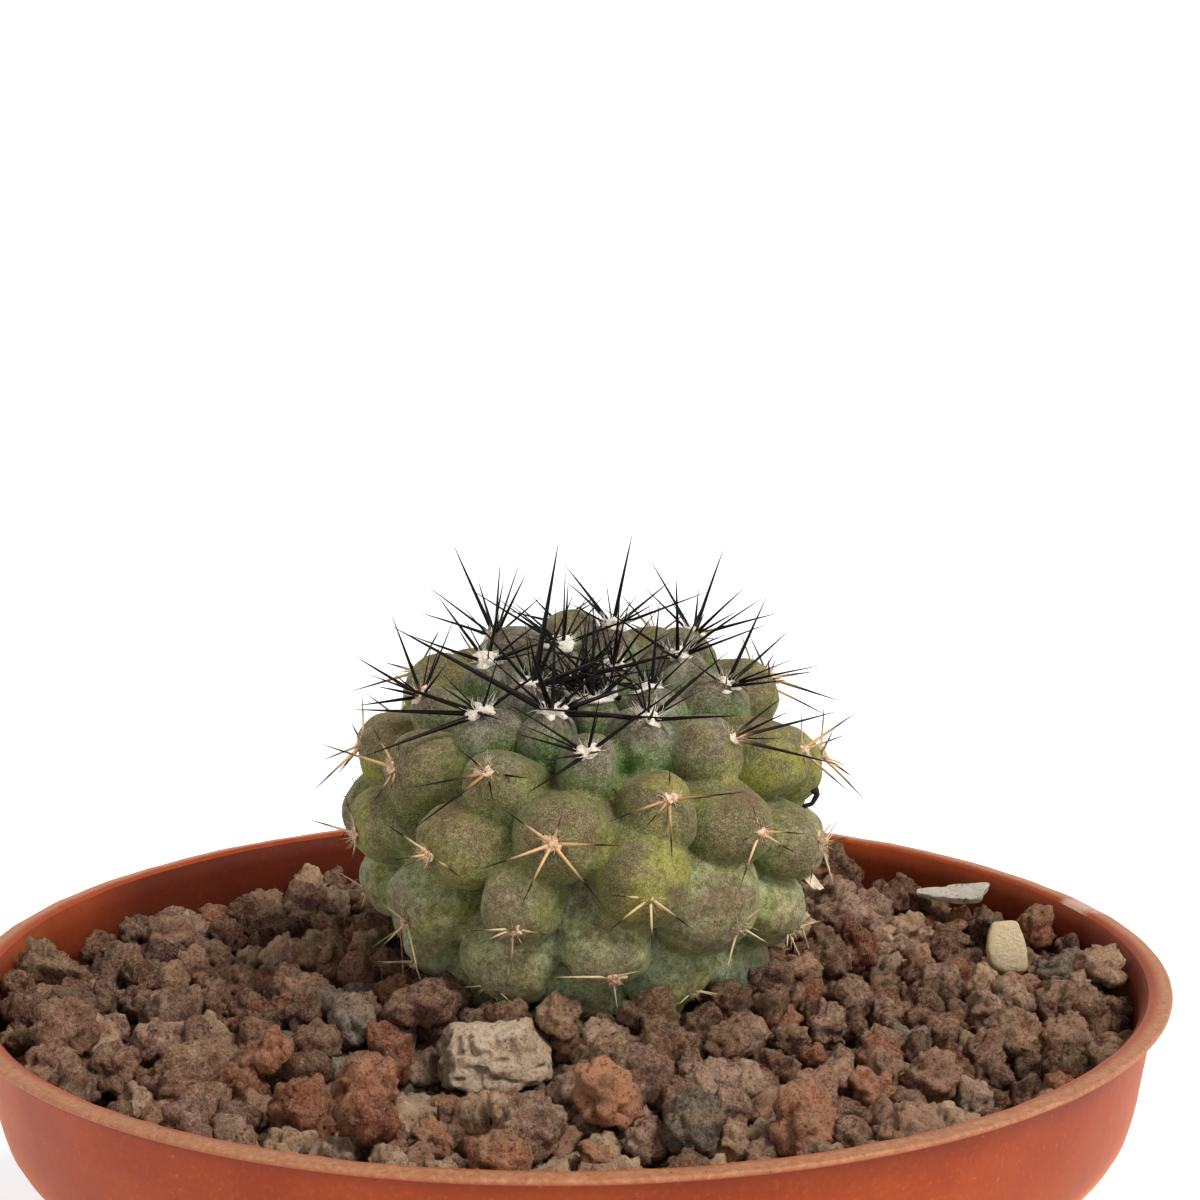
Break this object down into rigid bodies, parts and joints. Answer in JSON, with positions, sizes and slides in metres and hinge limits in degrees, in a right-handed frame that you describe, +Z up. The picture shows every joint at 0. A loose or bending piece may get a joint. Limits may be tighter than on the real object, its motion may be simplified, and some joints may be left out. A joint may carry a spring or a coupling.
{
  "type": "potted copiapoa cactus",
  "caption": "Young globular cactus with spiralled tubercles and black spines, growing in lava grit in a shallow round plastic pan.",
  "frame": {"origin": "centre of the pan's foot ring, on the surface that the pan stands on", "axes": "+Z up out of the pan; -Y is the side the cactus leans towards and the side the picture shows; +X to the right there"},
  "size_m": [0.1, 0.1, 0.0655],
  "materials": {
    "pot": "clay-coloured injection-moulded plastic, dusty satin",
    "grit": "porous lava grit, mauve-brown to reddish, dry",
    "pale_stone": "rough pale cream stone",
    "cream_chip": "smooth cream stone chip",
    "white_flake": "thin white mineral flake",
    "cactus": "waxy grey-green skin with brown bloom, woolly areoles, black to straw spines"
  },
  "bodies": {
    "root": {"pot": "pot", "grit": "grit", "pale_stone": "pale_stone", "cream_chip": "cream_chip", "white_flake": "white_flake", "cactus": "cactus"}
  },
  "joints": []
}
